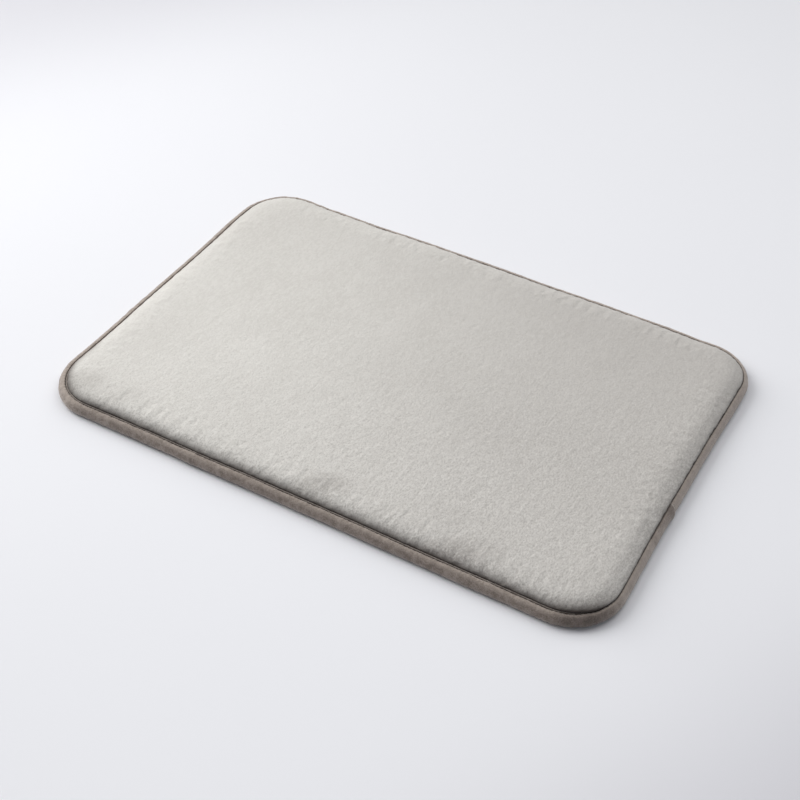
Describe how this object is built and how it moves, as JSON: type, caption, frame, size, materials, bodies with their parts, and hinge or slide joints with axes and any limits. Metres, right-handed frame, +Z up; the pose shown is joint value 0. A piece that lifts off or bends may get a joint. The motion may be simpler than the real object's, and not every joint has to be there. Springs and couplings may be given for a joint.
{
  "type": "bath mat",
  "caption": "Rectangular padded bath mat with rounded corners, a plush top over a foam pad, a dotted non-slip underside and a sewn tape binding.",
  "frame": {"origin": "on the floor, under the middle of the mat", "axes": "+X along the mat's length, +Y along its width, +Z up out of the pile"},
  "size_m": [0.6105, 0.425, 0.02],
  "materials": {
    "plush": "short plush pile, soft sheen",
    "foam": "open-cell memory foam",
    "backing": "fine knitted backing cloth, matt",
    "grip": "soft printed dots, satin",
    "binding": "brushed velour tape",
    "thread": "spun polyester thread"
  },
  "bodies": {
    "root": {"plush_cover": "plush", "foam_core": "foam", "backing_cloth": "backing", "grip_dots": "grip", "edge_binding": "binding", "needle_thread": "thread", "bobbin_thread": "thread"}
  },
  "joints": []
}
